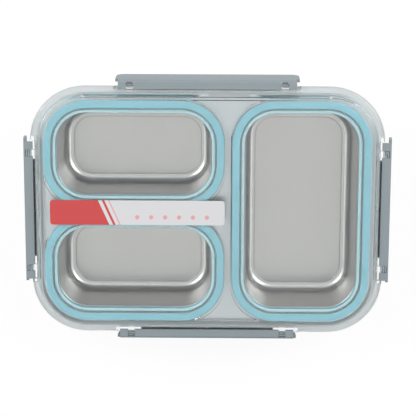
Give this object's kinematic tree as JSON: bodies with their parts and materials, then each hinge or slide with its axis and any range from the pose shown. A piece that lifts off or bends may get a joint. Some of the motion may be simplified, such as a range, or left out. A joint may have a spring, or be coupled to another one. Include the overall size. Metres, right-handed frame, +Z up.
{
  "type": "compartment lunch box",
  "caption": "Rounded rectangular lunch box: outer shell, pressed steel compartment tray, clear lid with soft seals and hinged flap latches on every side.",
  "frame": {"origin": "on the table under the middle of the box", "axes": "+X along the length towards the large compartment, +Y to the rear, +Z up"},
  "size_m": [0.2946, 0.2136, 0.062],
  "materials": {
    "shell_plastic": "fine satin",
    "tray_steel": "satin, lightly polished",
    "clear_plastic": "clear and glossy",
    "blue_silicone": "smooth, soft",
    "grey_plastic": "satin",
    "label_paper": "smooth, printed"
  },
  "bodies": {
    "base": {"base_shell": "shell_plastic"},
    "tray": {"steel_tray": "tray_steel"},
    "lid": {"lid": "clear_plastic", "seal_rear_small": "blue_silicone", "seal_front_small": "blue_silicone", "seal_large": "blue_silicone", "label": "label_paper"},
    "latch_rear": {"latch_rear": "grey_plastic"},
    "latch_front": {"latch_front": "grey_plastic"},
    "latch_left": {"latch_left": "grey_plastic"},
    "latch_right": {"latch_right": "grey_plastic"}
  },
  "joints": [
    {"name": "tray_lift", "type": "slide", "parent": "base", "child": "tray", "axis": [0, 0, 1], "range_m": [0, 0.06]},
    {"name": "lid_lift", "type": "slide", "parent": "tray", "child": "lid", "axis": [0, 0, 1], "range_m": [0, 0.09]},
    {"name": "latch_rear_hinge", "type": "hinge", "parent": "lid", "child": "latch_rear", "pos_m": [0, 0.1004, 0.0535], "axis": [1, 0, 0], "range_deg": [-4, 105]},
    {"name": "latch_front_hinge", "type": "hinge", "parent": "lid", "child": "latch_front", "pos_m": [0, -0.1004, 0.0535], "axis": [-1, 0, 0], "range_deg": [-4, 105]},
    {"name": "latch_left_hinge", "type": "hinge", "parent": "lid", "child": "latch_left", "pos_m": [-0.1409, 0, 0.0535], "axis": [0, 1, 0], "range_deg": [-4, 105]},
    {"name": "latch_right_hinge", "type": "hinge", "parent": "lid", "child": "latch_right", "pos_m": [0.1409, 0, 0.0535], "axis": [0, -1, 0], "range_deg": [-4, 105]}
  ]
}
